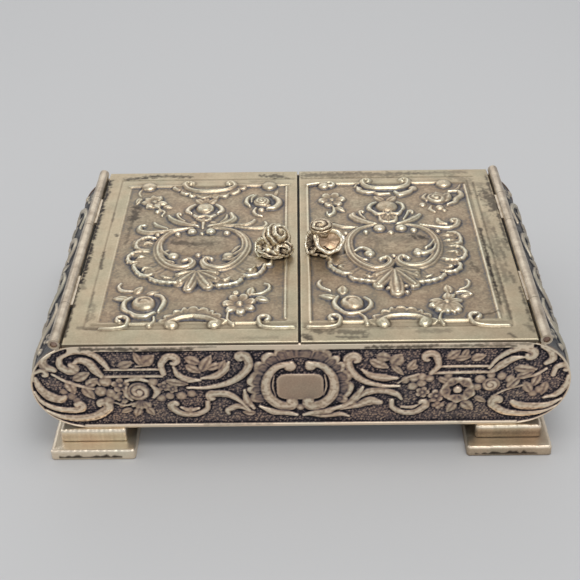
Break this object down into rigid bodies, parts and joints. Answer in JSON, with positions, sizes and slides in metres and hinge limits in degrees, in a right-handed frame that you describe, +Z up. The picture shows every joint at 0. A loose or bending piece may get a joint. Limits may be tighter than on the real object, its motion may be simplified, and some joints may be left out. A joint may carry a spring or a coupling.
{
  "type": "two-lidded table casket",
  "caption": "Low embossed metal table casket with rounded ends, twin lids hinged at the outer edges, rosebud knobs and stepped feet.",
  "frame": {"origin": "middle of the footprint, on the surface the feet stand on", "axes": "+X to the right across the front, +Y from the front panel to the back panel, +Z up"},
  "size_m": [0.1888, 0.13, 0.0588],
  "materials": {
    "embossed_silver": "satin, oxidised in the recesses",
    "plain_silver": "satin",
    "bare_metal": "worn satin",
    "cedar": "bare planed wood",
    "steel": "turned"
  },
  "bodies": {
    "case": {"front_panel": "embossed_silver", "back_panel": "embossed_silver", "left_side_wall": "embossed_silver", "right_side_wall": "embossed_silver", "base_plate": "plain_silver", "centre_divider": "plain_silver", "left_lining_floor": "cedar", "left_lining_ends": "cedar", "left_lining_sides": "cedar", "right_lining_floor": "cedar", "right_lining_ends": "cedar", "right_lining_sides": "cedar", "left_fixed_tubes": "bare_metal", "right_fixed_tubes": "bare_metal", "left_hinge_pin": "steel", "right_hinge_pin": "steel", "foot_slab_front_left": "bare_metal", "foot_slab_front_right": "bare_metal", "foot_slab_back_left": "bare_metal", "foot_slab_back_right": "bare_metal", "foot_step_front_left": "bare_metal", "foot_step_front_right": "bare_metal", "foot_step_back_left": "bare_metal", "foot_step_back_right": "bare_metal"},
    "left_lid": {"left_lid_cover": "embossed_silver", "left_lid_backing": "plain_silver", "left_lid_tubes": "bare_metal", "left_knob_rose": "embossed_silver", "left_knob_collar": "embossed_silver", "left_knob_screw": "steel", "left_knob_nut": "steel"},
    "right_lid": {"right_lid_cover": "embossed_silver", "right_lid_backing": "plain_silver", "right_lid_tubes": "bare_metal", "right_knob_rose": "embossed_silver", "right_knob_collar": "embossed_silver", "right_knob_screw": "steel", "right_knob_nut": "steel"}
  },
  "joints": [
    {"name": "left_lid_hinge", "type": "hinge", "parent": "case", "child": "left_lid", "pos_m": [-0.0825, 0, 0.0471], "axis": [0, -1, 0], "range_deg": [0, 110]},
    {"name": "right_lid_hinge", "type": "hinge", "parent": "case", "child": "right_lid", "pos_m": [0.0825, 0, 0.0471], "axis": [0, 1, 0], "range_deg": [0, 110]}
  ]
}
